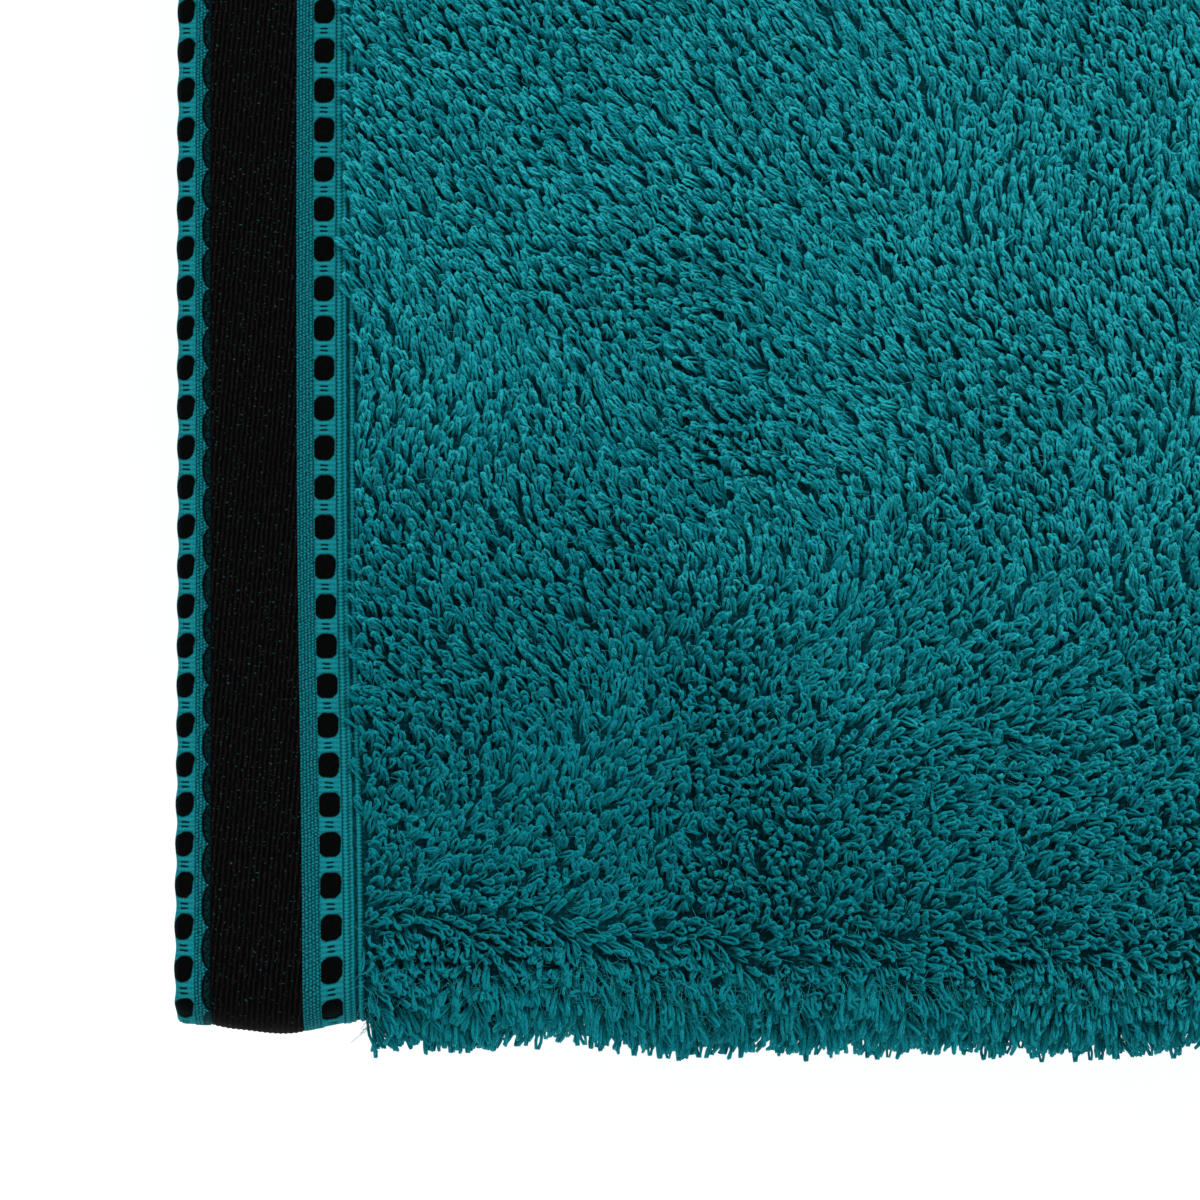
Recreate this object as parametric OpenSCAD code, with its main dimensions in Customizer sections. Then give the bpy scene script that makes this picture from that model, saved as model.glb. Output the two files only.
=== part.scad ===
// A set of two folded terry bath towels, one lying on the other.
// Each towel is folded in three along its length, with its front fold wrapped round the tucked
// edge, and then in three across, in a Z: top panel, right fold, middle panel, left fold, bottom
// panel. +X runs along the long side, +Y to the rear and +Z up. The origin is at the middle of
// the footprint, on the face that the set rests on. All sizes are in millimetres.

/* [Towel] */
// Finished width of one towel, from side hem to side hem
towel_w = 690; // [560:10:800]
// Finished length of one towel, from end hem to end hem
towel_l = 1320; // [1000:10:1600]
// Thickness of one layer of cloth, with the pile of both its faces
layer_t = 6.4; // [5:0.1:8]

/* [Folding] */
// Air between two layers inside one folded panel
layer_gap = 0.3; // [0.2:0.1:0.6]
// Air between panels, and between towels, that can part
panel_gap = 0.4; // [0.3:0.1:0.8]
// How far the upper side hem stays back from the rear fold
side_setback = 4; // [2:1:12]
// How far the tucked side hem stays behind the centre of the front fold
tuck_setback = 3; // [1:1:12]
// How far the top end hem stands proud of the left fold under it
hem_overhang = 2; // [1:0.5:8]
// How far the lower end hem stays inside the right fold above it
lower_hem_setback = 6; // [2:1:14]
// Cut between the upper towel's panels and its cross folds, which bend as it unfolds
fold_cut = 0.3; // [0.2:0.1:0.8]

/* [Border] */
// Thickness of the flat-woven border
border_t = 1.6; // [1:0.1:2.2]
// Width of the outer row of dark squares, along the towel's very end
outer_ladder_w = 2.9; // [2:0.1:5]
// Width of the strip with the scalloped edge
scallop_w = 2.2; // [1.5:0.1:4]
// Width of the dark band
dark_band_w = 12.9; // [8:0.1:25]
// Width of the plain strip beside the dark band
plain_w = 2.6; // [1.5:0.1:5]
// Width of the inner row of dark squares
inner_ladder_w = 3.3; // [2:0.1:5]
// Width of the ribbed strip, where the end hem is sewn down
ribbed_w = 2.9; // [2:0.1:6]

/* [Hems] */
// Width of the side hems
side_hem_w = 9; // [6:0.5:14]
// Thickness of the side hems
side_hem_t = 3; // [2:0.1:4]
// Thickness of the ply turned under at the ends
turn_under_t = 1; // [0.6:0.1:1.2]
// How far the sewing line is from the edge of its hem
seam_in = 1.4; // [1:0.1:2.5]
// Width of a line of sewing thread
thread_w = 0.6; // [0.4:0.1:1]
// How far the sewing thread stands proud
thread_t = 0.4; // [0.2:0.1:0.5]

/* [Hidden] */
$fn = 64;
teal = "#0b7682";
light_teal = "#12828e";
thread_teal = "#0a5f69";
near_black = "#141416";

// The two towels and the three panels of each, counted from below
LOWER = 0;
UPPER = 1;
BOTTOM = 0;
MIDDLE = 1;
TOP = 2;
PANELS = 3;

// Heights of the three layers' middles in one panel, from its underside
panel_t = PANELS * layer_t + 2 * layer_gap;
under_z = layer_t / 2;
tucked_z = under_z + layer_t + layer_gap;
over_z = tucked_z + layer_t + layer_gap;

// Radii of the two lengthwise folds, at the cloth's middle, and the heights of their centres
front_r = (over_z - under_z) / 2;
rear_r = (tucked_z - under_z) / 2;
front_z = (over_z + under_z) / 2;
rear_z = (tucked_z + under_z) / 2;

// Sizes that come from lengths of cloth are rounded to this
function hundredths(x) = round(x * 100) / 100;

// Depth of the folded towel, from the width of cloth that its three layers and two folds take up
fold_cloth = PI * (front_r + rear_r);
front_reach = panel_t / 2;
rear_reach = rear_r + layer_t / 2;
setbacks = side_setback + tuck_setback;
depth = hundredths((towel_w - fold_cloth + 3 * front_reach + 2 * rear_reach + setbacks) / 3);
front_y = -depth / 2 + front_reach;
rear_y = depth / 2 - rear_reach;
over_edge_y = depth / 2 - side_setback;
tucked_edge_y = front_y + tuck_setback;
over_terry_y = over_edge_y - side_hem_w;
tucked_terry_y = tucked_edge_y + side_hem_w;

// Width of the folded towel, from the length of cloth that its panels and cross folds take up
cross_r = panel_t + panel_gap / 2;
cross_cloth = PI * (panel_t + panel_gap) / 2;
end_steps = 2 * hem_overhang + lower_hem_setback;
width = hundredths((towel_l - 2 * cross_cloth + 4 * cross_r + end_steps) / 3);
right_x = width / 2 - cross_r;
left_x = -width / 2 + hem_overhang + cross_r;
top_end_x = -width / 2;
bottom_end_x = width / 2 - lower_hem_setback;

// Distances of the border's strips from the towel's end
strip_w = [outer_ladder_w, scallop_w, dark_band_w, plain_w, inner_ladder_w, ribbed_w];
function strip_start(i) = i == 0 ? 0 : strip_start(i - 1) + strip_w[i - 1];
OUTER_LADDER = 0;
SCALLOPS = 1;
DARK_BAND = 2;
PLAIN = 3;
INNER_LADDER = 4;
RIBBED = 5;
border_w = strip_start(RIBBED) + ribbed_w;
seam_start = border_w - seam_in;
// A little more than any fold, for cutting the folds' rings in half
past = 1;

towel_h = PANELS * panel_t + (PANELS - 1) * panel_gap;
function panel_z(towel, panel) =
    towel * (towel_h + panel_gap) + panel * (panel_t + panel_gap);

// The lower towel's folds are part of its one body, so its panels meet them
function cut(towel) = towel == UPPER ? fold_cut : 0;

// Section across the towel: half a ring of cloth that bulges to the front
module half_ring(r, t) {
    difference() {
        circle(r + t / 2);
        circle(r - t / 2);
        translate([0, -r - t]) square([r + t + past, 2 * (r + t)]);
    }
}

// Section of one ply of cloth through all three layers and both lengthwise folds. It lies
// inset from the cloth's middle, towards the inside of the folds.
module folded_ply(t, inset) {
    translate([front_y, over_z - inset - t / 2]) square([over_terry_y - front_y, t]);
    translate([front_y, front_z]) half_ring(front_r - inset, t);
    translate([front_y, under_z + inset - t / 2]) square([rear_y - front_y, t]);
    translate([rear_y, rear_z]) mirror([1, 0]) half_ring(rear_r - inset, t);
    translate([tucked_terry_y, tucked_z - inset - t / 2]) square([rear_y - tucked_terry_y, t]);
}

// Sections of the side hems at the cloth's two long edges
module side_hem_section() {
    translate([over_terry_y, over_z - side_hem_t / 2]) square([side_hem_w, side_hem_t]);
    translate([tucked_edge_y, tucked_z - side_hem_t / 2]) square([side_hem_w, side_hem_t]);
}

// Sections of the sewing lines on the side hems
module side_seam_section() {
    seam_lift = side_hem_t / 2;
    translate([over_terry_y + seam_in, over_z + seam_lift]) square([thread_w, thread_t]);
    translate([tucked_terry_y - seam_in - thread_w, tucked_z + seam_lift])
        square([thread_w, thread_t]);
}

// Turns a section over, as the middle panel of the Z lies the other way up
module turned_over() {
    translate([0, panel_t]) mirror([0, 1]) children();
}

// Runs a section along a panel from x0 to x1
module along(x0, x1, z) {
    translate([x0, 0, z]) rotate([90, 0, 90]) linear_extrude(x1 - x0) children();
}

// Runs a section of the upper of two panels round the cross fold to the lower one
module round_fold(x, z) {
    translate([x, 0, z]) rotate([-90, -90, 0]) rotate_extrude(angle = 180)
        translate([panel_gap / 2, 0]) mirror([1, -1]) children();
}

// The same section along the top, middle and bottom panels of a towel
module along_top(towel, inset) {
    along(top_end_x + inset, right_x - cut(towel), panel_z(towel, TOP)) children();
}
module along_middle(towel) {
    along(left_x + cut(towel), right_x - cut(towel), panel_z(towel, MIDDLE))
        turned_over() children();
}
module along_bottom(towel, inset) {
    along(left_x + cut(towel), bottom_end_x - inset, panel_z(towel, BOTTOM)) children();
}
module round_right(towel) {
    round_fold(right_x, panel_z(towel, TOP) - panel_gap / 2) children();
}
module round_left(towel) {
    mirror([1, 0, 0]) round_fold(-left_x, panel_z(towel, MIDDLE) - panel_gap / 2)
        turned_over() children();
}

// A stretch of ply across the border at the top end or at the bottom end, measured from the end
module top_strip(towel, from, w, t, inset) {
    along(top_end_x + from, top_end_x + from + w, panel_z(towel, TOP)) folded_ply(t, inset);
}
module bottom_strip(towel, from, w, t, inset) {
    along(bottom_end_x - from - w, bottom_end_x - from, panel_z(towel, BOTTOM))
        folded_ply(t, inset);
}
module top_border(towel, i) {
    top_strip(towel, strip_start(i), strip_w[i], border_t, 0);
}
module bottom_border(towel, i) {
    bottom_strip(towel, strip_start(i), strip_w[i], border_t, 0);
}

// The ply turned under at an end, and the line of stitches that holds it
module top_end_hem(towel) {
    top_strip(towel, 0, border_w, turn_under_t, (border_t + turn_under_t) / 2);
}
module bottom_end_hem(towel) {
    bottom_strip(towel, 0, border_w, turn_under_t, (border_t + turn_under_t) / 2);
}
module top_end_seam(towel) {
    top_strip(towel, seam_start, thread_w, thread_t, -(border_t + thread_t) / 2);
}
module bottom_end_seam(towel) {
    bottom_strip(towel, seam_start, thread_w, thread_t, -(border_t + thread_t) / 2);
}

// Terry panels
module upper_top_panel() {
    color(teal) along_top(UPPER, border_w) folded_ply(layer_t, 0);
}
module upper_middle_panel() {
    color(teal) along_middle(UPPER) folded_ply(layer_t, 0);
}
module upper_bottom_panel() {
    color(teal) along_bottom(UPPER, border_w) folded_ply(layer_t, 0);
}
module lower_top_panel() {
    color(teal) along_top(LOWER, border_w) folded_ply(layer_t, 0);
}
module lower_middle_panel() {
    color(teal) along_middle(LOWER) folded_ply(layer_t, 0);
}
module lower_bottom_panel() {
    color(teal) along_bottom(LOWER, border_w) folded_ply(layer_t, 0);
}

// Cross folds
module upper_right_fold() {
    color(teal) round_right(UPPER) folded_ply(layer_t, 0);
}
module upper_left_fold() {
    color(teal) round_left(UPPER) folded_ply(layer_t, 0);
}
module lower_right_fold() {
    color(teal) round_right(LOWER) folded_ply(layer_t, 0);
}
module lower_left_fold() {
    color(teal) round_left(LOWER) folded_ply(layer_t, 0);
}

// Border of the upper towel's top end
module upper_top_outer_ladder() {
    color(near_black) top_border(UPPER, OUTER_LADDER);
}
module upper_top_scallop_strip() {
    color(light_teal) top_border(UPPER, SCALLOPS);
}
module upper_top_dark_band() {
    color(near_black) top_border(UPPER, DARK_BAND);
}
module upper_top_plain_strip() {
    color(light_teal) top_border(UPPER, PLAIN);
}
module upper_top_inner_ladder() {
    color(near_black) top_border(UPPER, INNER_LADDER);
}
module upper_top_ribbed_strip() {
    color(light_teal) top_border(UPPER, RIBBED);
}
module upper_top_end_hem() {
    color(teal) top_end_hem(UPPER);
}
module upper_top_end_hem_stitching() {
    color(thread_teal) top_end_seam(UPPER);
}

// Border of the upper towel's bottom end
module upper_bottom_outer_ladder() {
    color(near_black) bottom_border(UPPER, OUTER_LADDER);
}
module upper_bottom_scallop_strip() {
    color(light_teal) bottom_border(UPPER, SCALLOPS);
}
module upper_bottom_dark_band() {
    color(near_black) bottom_border(UPPER, DARK_BAND);
}
module upper_bottom_plain_strip() {
    color(light_teal) bottom_border(UPPER, PLAIN);
}
module upper_bottom_inner_ladder() {
    color(near_black) bottom_border(UPPER, INNER_LADDER);
}
module upper_bottom_ribbed_strip() {
    color(light_teal) bottom_border(UPPER, RIBBED);
}
module upper_bottom_end_hem() {
    color(teal) bottom_end_hem(UPPER);
}
module upper_bottom_end_hem_stitching() {
    color(thread_teal) bottom_end_seam(UPPER);
}

// Side hems and their stitching
module upper_top_side_hems() {
    color(light_teal) along_top(UPPER, 0) side_hem_section();
}
module upper_middle_side_hems() {
    color(light_teal) along_middle(UPPER) side_hem_section();
}
module upper_bottom_side_hems() {
    color(light_teal) along_bottom(UPPER, 0) side_hem_section();
}
module upper_right_fold_side_hems() {
    color(light_teal) round_right(UPPER) side_hem_section();
    color(thread_teal) round_right(UPPER) side_seam_section();
}
module upper_left_fold_side_hems() {
    color(light_teal) round_left(UPPER) side_hem_section();
    color(thread_teal) round_left(UPPER) side_seam_section();
}
module upper_top_side_stitching() {
    color(thread_teal) along_top(UPPER, 0) side_seam_section();
}
module upper_middle_side_stitching() {
    color(thread_teal) along_middle(UPPER) side_seam_section();
}
module upper_bottom_side_stitching() {
    color(thread_teal) along_bottom(UPPER, 0) side_seam_section();
}

// The lower towel's borders, hems and stitching, which stay together as one body
module lower_border(i) {
    top_border(LOWER, i);
    bottom_border(LOWER, i);
}
module lower_all_round() {
    along_top(LOWER, 0) children();
    round_right(LOWER) children();
    along_middle(LOWER) children();
    round_left(LOWER) children();
    along_bottom(LOWER, 0) children();
}
module lower_outer_ladders() {
    color(near_black) lower_border(OUTER_LADDER);
}
module lower_scallop_strips() {
    color(light_teal) lower_border(SCALLOPS);
}
module lower_dark_bands() {
    color(near_black) lower_border(DARK_BAND);
}
module lower_plain_strips() {
    color(light_teal) lower_border(PLAIN);
}
module lower_inner_ladders() {
    color(near_black) lower_border(INNER_LADDER);
}
module lower_ribbed_strips() {
    color(light_teal) lower_border(RIBBED);
}
module lower_end_hems() {
    color(teal) top_end_hem(LOWER);
    color(teal) bottom_end_hem(LOWER);
}
module lower_end_hem_stitching() {
    color(thread_teal) top_end_seam(LOWER);
    color(thread_teal) bottom_end_seam(LOWER);
}
module lower_side_hems() {
    color(light_teal) lower_all_round() side_hem_section();
}
module lower_side_stitching() {
    color(thread_teal) lower_all_round() side_seam_section();
}

upper_top_panel();
upper_middle_panel();
upper_bottom_panel();
upper_right_fold();
upper_left_fold();
upper_top_outer_ladder();
upper_top_scallop_strip();
upper_top_dark_band();
upper_top_plain_strip();
upper_top_inner_ladder();
upper_top_ribbed_strip();
upper_top_end_hem();
upper_top_end_hem_stitching();
upper_bottom_outer_ladder();
upper_bottom_scallop_strip();
upper_bottom_dark_band();
upper_bottom_plain_strip();
upper_bottom_inner_ladder();
upper_bottom_ribbed_strip();
upper_bottom_end_hem();
upper_bottom_end_hem_stitching();
upper_top_side_hems();
upper_middle_side_hems();
upper_bottom_side_hems();
upper_right_fold_side_hems();
upper_left_fold_side_hems();
upper_top_side_stitching();
upper_middle_side_stitching();
upper_bottom_side_stitching();
lower_top_panel();
lower_middle_panel();
lower_bottom_panel();
lower_right_fold();
lower_left_fold();
lower_outer_ladders();
lower_scallop_strips();
lower_dark_bands();
lower_plain_strips();
lower_inner_ladders();
lower_ribbed_strips();
lower_end_hems();
lower_end_hem_stitching();
lower_side_hems();
lower_side_stitching();
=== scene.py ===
"""Two folded terry bath towels, one lying on the other, seen from above at one corner.

Every piece is made in cloth coordinates and then put into space by place(). A point of a towel
is given by the panel or cross fold it is in, by a along the towel (metres of X in a panel,
radians in a fold), by s across the cloth from the upper side hem, and by lift from the cloth's
middle towards the side that ends up outside. Lengths are metres, and pattern sizes millimetres.
"""
import math
from collections import namedtuple

import bpy
import numpy as np
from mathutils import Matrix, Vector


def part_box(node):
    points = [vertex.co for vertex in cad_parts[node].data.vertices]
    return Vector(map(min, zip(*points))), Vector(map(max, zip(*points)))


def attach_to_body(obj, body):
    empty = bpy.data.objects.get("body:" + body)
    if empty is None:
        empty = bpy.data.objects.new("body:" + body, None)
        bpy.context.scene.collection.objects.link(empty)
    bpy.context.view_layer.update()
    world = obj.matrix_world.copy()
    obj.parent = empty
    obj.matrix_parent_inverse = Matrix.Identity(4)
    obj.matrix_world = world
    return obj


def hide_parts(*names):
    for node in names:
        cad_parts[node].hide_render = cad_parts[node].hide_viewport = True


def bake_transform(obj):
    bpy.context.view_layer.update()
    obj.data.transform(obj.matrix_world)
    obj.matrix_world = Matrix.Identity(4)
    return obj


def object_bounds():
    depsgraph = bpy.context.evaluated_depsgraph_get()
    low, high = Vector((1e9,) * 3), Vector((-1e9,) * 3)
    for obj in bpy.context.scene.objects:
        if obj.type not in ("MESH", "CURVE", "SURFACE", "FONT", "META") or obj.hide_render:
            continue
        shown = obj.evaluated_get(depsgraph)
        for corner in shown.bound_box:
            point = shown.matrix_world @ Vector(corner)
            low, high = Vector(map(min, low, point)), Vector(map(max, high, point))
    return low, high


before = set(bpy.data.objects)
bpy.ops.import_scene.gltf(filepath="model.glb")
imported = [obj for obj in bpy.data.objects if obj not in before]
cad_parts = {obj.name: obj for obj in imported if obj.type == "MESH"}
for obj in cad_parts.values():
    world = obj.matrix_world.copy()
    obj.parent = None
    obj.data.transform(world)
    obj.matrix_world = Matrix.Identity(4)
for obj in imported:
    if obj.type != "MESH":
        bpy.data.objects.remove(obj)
cad_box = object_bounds()

# ---- sizes taken from the frame
MM = 0.001
PANELS = ("top", "middle", "bottom")
FOLDS = ("right", "left")


def low(node):
    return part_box(node)[0]


def high(node):
    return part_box(node)[1]


PANEL_LOW, PANEL_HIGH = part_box("upper_top_panel")
PANEL_T = PANEL_HIGH.z - PANEL_LOW.z
GAP = PANEL_LOW.z - high("upper_middle_panel").z
END_LEFT = low("upper_top_end_hem").x
END_RIGHT = high("upper_bottom_end_hem").x
BORDER_W = high("upper_top_end_hem").x - END_LEFT
RIGHT_X = low("upper_right_fold").x
LEFT_X = high("upper_left_fold").x
FRONT, REAR = PANEL_LOW.y, PANEL_HIGH.y
HEM_EDGE_Y = high("upper_top_side_hems").y
TUCKED_EDGE_Y = low("upper_top_side_hems").y
TOP_Z = cad_box[1].z

# Cloth: one layer with its pile, the woven ground in its middle, and the hems
LAYER_T = 6.4 * MM
GROUND_T = 1.2 * MM
SIDE_HEM_W = 9 * MM
SIDE_HEM_T = 3 * MM
BORDER_T = 1.6 * MM
TURNED_T = 1.0 * MM

# Heights of the three layers' middles in a panel, and the lengthwise folds
UNDER_Z = LAYER_T / 2
OVER_Z = PANEL_T - UNDER_Z
TUCKED_Z = PANEL_T / 2
FRONT_R = (OVER_Z - UNDER_Z) / 2
REAR_R = (TUCKED_Z - UNDER_Z) / 2
FRONT_Y = FRONT + PANEL_T / 2
REAR_Y = REAR - REAR_R - LAYER_T / 2

# The way across the cloth: over layer, front fold, under layer, rear fold, tucked layer
STRETCHES = (
    HEM_EDGE_Y - FRONT_Y,
    math.pi * FRONT_R,
    REAR_Y - FRONT_Y,
    math.pi * REAR_R,
    REAR_Y - TUCKED_EDGE_Y,
)
S_FRONT, S_UNDER, S_REAR, S_TUCKED, S_END = np.cumsum(STRETCHES)


class Towel:
    """The heights of one towel's panels and of its cross folds' centres."""

    def __init__(self, name):
        self.name = name
        self.base = {panel: low(f"{name}_{panel}_panel").z for panel in PANELS}
        self.right_z = self.base["top"] - GAP / 2
        self.left_z = self.base["middle"] - GAP / 2


UPPER = Towel("upper")
LOWER = Towel("lower")


# ---- from cloth to space
def across(s, lift):
    """Y, and the height in a panel, of points s across the cloth and lift out of it."""
    front = (s - S_FRONT) / FRONT_R
    rear = (s - S_REAR) / REAR_R
    where = [s < S_FRONT, s < S_UNDER, s < S_REAR, s < S_TUCKED]
    ys = (
        HEM_EDGE_Y - s,
        FRONT_Y - (FRONT_R + lift) * np.sin(front),
        FRONT_Y + s - S_UNDER,
        REAR_Y + (REAR_R + lift) * np.sin(rear),
    )
    heights = (
        OVER_Z + lift,
        TUCKED_Z + (FRONT_R + lift) * np.cos(front),
        UNDER_Z - lift,
        UNDER_Z + REAR_R - (REAR_R + lift) * np.cos(rear),
    )
    y = np.select(where, ys, REAR_Y - (s - S_TUCKED))
    return y, np.select(where, heights, TUCKED_Z + lift)


def soft_noise(x, y, size, seed):
    """Soft random hills and dips about size across, from -1 to 1."""
    cells = 64
    grid = np.random.default_rng(seed).uniform(-1, 1, (cells, cells))
    gx, gy = x / size, y / size
    ix, iy = np.floor(gx).astype(int), np.floor(gy).astype(int)
    tx, ty = gx - ix, gy - iy
    tx, ty = tx * tx * (3 - 2 * tx), ty * ty * (3 - 2 * ty)
    rows = iy % cells, (iy + 1) % cells
    near, far = (grid[ix % cells, j] * (1 - tx) + grid[(ix + 1) % cells, j] * tx for j in rows)
    return near * (1 - ty) + far * ty


def ease(x, start, end):
    """0 before start, 1 after end, and a smooth step between."""
    t = np.clip((x - start) / (end - start), 0, 1)
    return t * t * (3 - 2 * t)


# How the stack lies: hills on top, the towel's end wider at the front, a wavy front edge that
# the band pushes out, and lower layers that lie further in than the top one
SWELL = 1.6 * MM
SPREAD = 2.2 * MM
EDGE_WAVE = 1.3 * MM
BAND_PUFF = 1.7 * MM
TUCK = 3.5 * MM


def settle(points):
    """Bends the whole stack a little, as cloth that was folded by hand lies."""
    x, y, z = points[..., 0], points[..., 1], points[..., 2]
    swell = soft_noise(x, y, 0.085, 11) + 0.5 * soft_noise(x, y, 0.04, 12)
    drift = soft_noise(x * 0.3, z, 0.05, 13)
    near_end = 1 - ease(x, END_LEFT + 0.03, END_LEFT + 0.09)
    to_front = ease(-y, 0.03, -FRONT)
    spread = SPREAD * to_front * near_end * ease(x, END_LEFT - 0.01, END_LEFT + 0.03)
    below = ease(z, PANEL_LOW.z - GAP, PANEL_LOW.z)
    tuck = TUCK * (1 - below) * near_end * to_front
    at_fold = ease(-y, -FRONT - 0.03, -FRONT - 0.004)
    wave = EDGE_WAVE * soft_noise(x, 0 * x, 0.028, 14)
    puff = BAND_PUFF * np.exp(-(((x - END_LEFT - 0.6 * BORDER_W) / 0.008) ** 2))
    x = x + spread - 0.4 * SPREAD * to_front * near_end
    y = y + SWELL * 0.5 * drift + tuck - at_fold * (wave + puff)
    return np.stack([x, y, z + SWELL * swell * z / TOP_Z], axis=-1)


def place(towel, part, a, s, lift):
    """Where points of the cloth lie, for a part that is a panel or a cross fold."""
    a, s, lift = np.broadcast_arrays(a, s, lift)
    y, h = across(s, lift)
    if part == "right":
        r = GAP / 2 + h
        x, z = RIGHT_X + r * np.sin(a), towel.right_z + r * np.cos(a)
    elif part == "left":
        r = GAP / 2 + PANEL_T - h
        x, z = LEFT_X - r * np.sin(a), towel.left_z + r * np.cos(a)
    elif part == "middle":
        x, z = a, towel.base[part] + PANEL_T - h
    else:
        x, z = a, towel.base[part] + h
    return settle(np.stack([x, y, z], axis=-1))


def fold_radius(part, s):
    """Radius of the cloth's middle in a cross fold, at s across the cloth."""
    h = across(np.asarray(s, float), 0.0)[1]
    return GAP / 2 + (h if part == "right" else PANEL_T - h)


# ---- materials
class Graph:
    """A material whose nodes are made by short calls."""

    def __init__(self, name, roughness, sheen, sheen_tint):
        self.material = bpy.data.materials.new(name)
        self.material.use_nodes = True
        self.tree = self.material.node_tree
        self.shader = self.tree.nodes["Principled BSDF"].inputs
        for socket, value in (
            ("Roughness", roughness),
            ("Specular IOR Level", 0.04),
            ("Sheen Weight", sheen),
            ("Sheen Roughness", 0.45),
            ("Sheen Tint", sheen_tint),
        ):
            self.put(self.shader[socket], value)

    def put(self, socket, value):
        if isinstance(value, bpy.types.NodeSocket):
            self.tree.links.new(value, socket)
        elif isinstance(value, tuple):
            socket.default_value = (*value, 1) if len(value) == 3 else value
        else:
            socket.default_value = value

    def math(self, operation, *values):
        node = self.tree.nodes.new("ShaderNodeMath")
        node.operation = operation
        for socket, value in zip(node.inputs, values):
            self.put(socket, value)
        return node.outputs[0]

    def add(self, a, b):
        return self.math("ADD", a, b)

    def sub(self, a, b):
        return self.math("SUBTRACT", a, b)

    def times(self, a, b):
        return self.math("MULTIPLY", a, b)

    def attribute(self, name, output="Fac"):
        node = self.tree.nodes.new("ShaderNodeAttribute")
        node.attribute_name = name
        return node.outputs[output]

    def axes(self, vector):
        node = self.tree.nodes.new("ShaderNodeSeparateXYZ")
        self.put(node.inputs[0], vector)
        return node.outputs[0], node.outputs[1], node.outputs[2]

    def vector(self, x, y, z=0.0):
        node = self.tree.nodes.new("ShaderNodeCombineXYZ")
        for socket, value in zip(node.inputs, (x, y, z)):
            self.put(socket, value)
        return node.outputs[0]

    def place(self):
        return self.tree.nodes.new("ShaderNodeTexCoord").outputs["Object"]

    def noise(self, vector, scale, detail=2.0):
        node = self.tree.nodes.new("ShaderNodeTexNoise")
        self.put(node.inputs["Vector"], vector)
        node.inputs["Scale"].default_value = scale
        node.inputs["Detail"].default_value = detail
        return node.outputs["Fac"]

    def step(self, value, start, end, low_value=0.0, high_value=1.0):
        """low_value where value is under start, high_value over end, smooth between."""
        node = self.tree.nodes.new("ShaderNodeMapRange")
        node.interpolation_type = "SMOOTHSTEP"
        for socket, given in zip(node.inputs, (value, start, end, low_value, high_value)):
            self.put(socket, given)
        return node.outputs[0]

    def mix(self, factor, a, b):
        node = self.tree.nodes.new("ShaderNodeMix")
        node.data_type = "RGBA"
        self.put(node.inputs["Factor"], factor)
        self.put(node.inputs["A"], a)
        self.put(node.inputs["B"], b)
        return node.outputs["Result"]

    def colour(self, value):
        self.put(self.shader["Base Color"], value)

    def bump(self, height, strength, distance):
        node = self.tree.nodes.new("ShaderNodeBump")
        self.put(node.inputs["Height"], height)
        node.inputs["Strength"].default_value = strength
        node.inputs["Distance"].default_value = distance
        self.put(self.shader["Normal"], node.outputs[0])

    def waves(self, value, pitch, shift=0.0):
        """0 to 1 and back over each pitch of value."""
        turn = self.add(self.times(value, 2 * math.pi / pitch), shift)
        return self.add(self.times(self.math("SINE", turn), 0.5), 0.5)


SHEEN_TEAL = (0.04, 0.64, 0.70)
SHEEN_BROWN = (0.5, 0.45, 0.4)
# Painted shade at the loops' feet and in the gaps of the terry skin
LOOP_PAINTED_SHADE = (0.0010, 0.085, 0.108)
LOOP_TEAL = (0.0014, 0.215, 0.262)
# A pale teal: the painted highlight on the loops' heads, and also mixed evenly into the
# ladders' teal
PALE_TEAL_AND_LOOP_HIGHLIGHT = (0.022, 0.45, 0.50)
# The ground's weave colours, both darkened as painted shade under the loops
GROUND_DEEP_IN_PAINTED_SHADE = (0.0005, 0.03, 0.04)
GROUND_LIGHT_IN_PAINTED_SHADE = (0.001, 0.08, 0.10)
WEAVE_DEEP = (0.0006, 0.022, 0.029)
WEAVE_TEAL = (0.0015, 0.125, 0.155)
WEAVE_LIGHT = (0.007, 0.25, 0.29)
INK = (0.0005, 0.0004, 0.0004)
INK_LIGHT = (0.0075, 0.0066, 0.0060)
INK_GREEN = (0.0008, 0.012, 0.014)
SCALLOP_GREEN = (0.0012, 0.026, 0.030)
BAND_SPECK = (0.009, 0.055, 0.064)
THREAD_TEAL = (0.001, 0.07, 0.088)

# Pattern of the border, in millimetres from the towel's end (u) and across the cloth (s)
LADDER_PITCH = 5.97
SQUARE_L = 3.8
SQUARE_CORNER = 1.2
SQUARE_W = {"outer_ladder": 2.6, "inner_ladder": 3.2}
TO_EDGE = 0.14
SLANTS = {"outer_ladder": -0.15, "inner_ladder": -0.05}
BAR_YARN = 0.76
SLIT_FROM_BAR = 0.32
GRAIN = 0.5
RIB = 0.95
BAND_RIB = 0.74
HEM_RIB = 0.7


def twisted(g, turns):
    """Painted light and shade of a yarn's two plies, lighter on each and darker in the groove,
    twisted turns times a millimetre.
    """
    around, along, _ = g.axes(g.attribute("yarn", "Vector"))
    return g.waves(g.add(g.times(around, 1 / math.pi), g.times(along, turns)), 1.0)


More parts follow.
